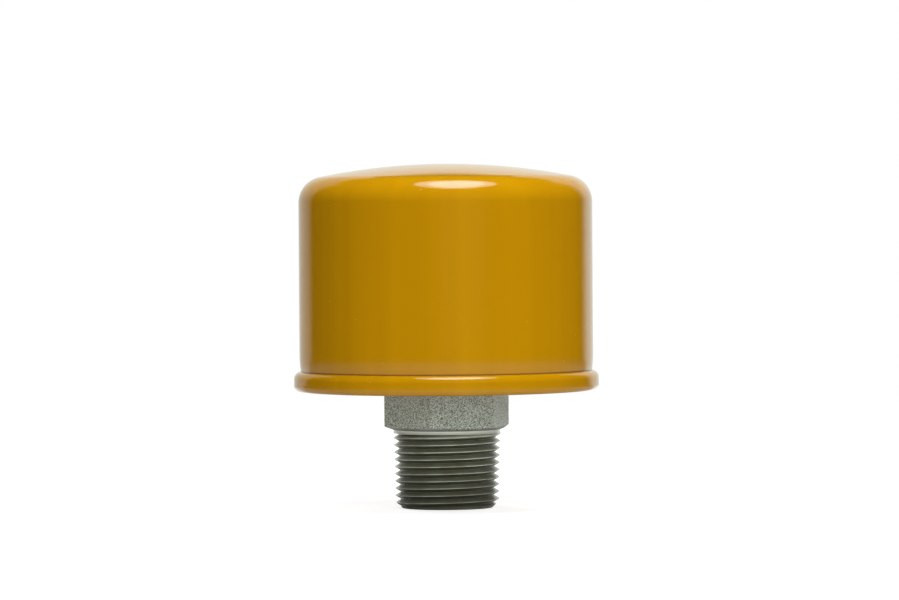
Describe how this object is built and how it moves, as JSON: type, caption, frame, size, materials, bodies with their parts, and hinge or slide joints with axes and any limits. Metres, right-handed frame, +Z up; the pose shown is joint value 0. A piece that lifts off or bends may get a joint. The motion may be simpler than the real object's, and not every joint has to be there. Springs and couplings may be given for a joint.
{
  "type": "breather vent cap",
  "caption": "Push-on air breather: a domed sheet-metal can with a seamed foot and a filter inside, on the riser tube of a hexagon nipple with a taper pipe thread.",
  "frame": {"origin": "centre of the nipple's lower end face", "axes": "+Z up along the nipple's axis, from the threaded end to the dome; the picture is taken looking along +Y with +X to the right"},
  "size_m": [0.077, 0.077, 0.0868],
  "materials": {
    "amber_enamel": "glossy amber enamel on sheet steel",
    "zinc_plate": "grey zinc plating on forged and machined steel",
    "bright_steel": "plain drawn steel",
    "black_rubber": "moulded black rubber",
    "filter_paper": "resin-treated pleated filter paper"
  },
  "bodies": {
    "nipple": {"hex_nipple": "zinc_plate", "breather_tube": "bright_steel"},
    "cap": {"cap_shell": "amber_enamel", "base_lid": "amber_enamel", "tube_grommet": "black_rubber", "lower_end_plate": "bright_steel", "core_tube": "bright_steel", "filter_media": "filter_paper", "upper_end_plate": "bright_steel", "hold_down_spring": "bright_steel"}
  },
  "joints": [
    {"name": "cap_pull", "type": "slide", "parent": "nipple", "child": "cap", "axis": [0, 0, 1], "range_m": [0, 0.035]}
  ]
}
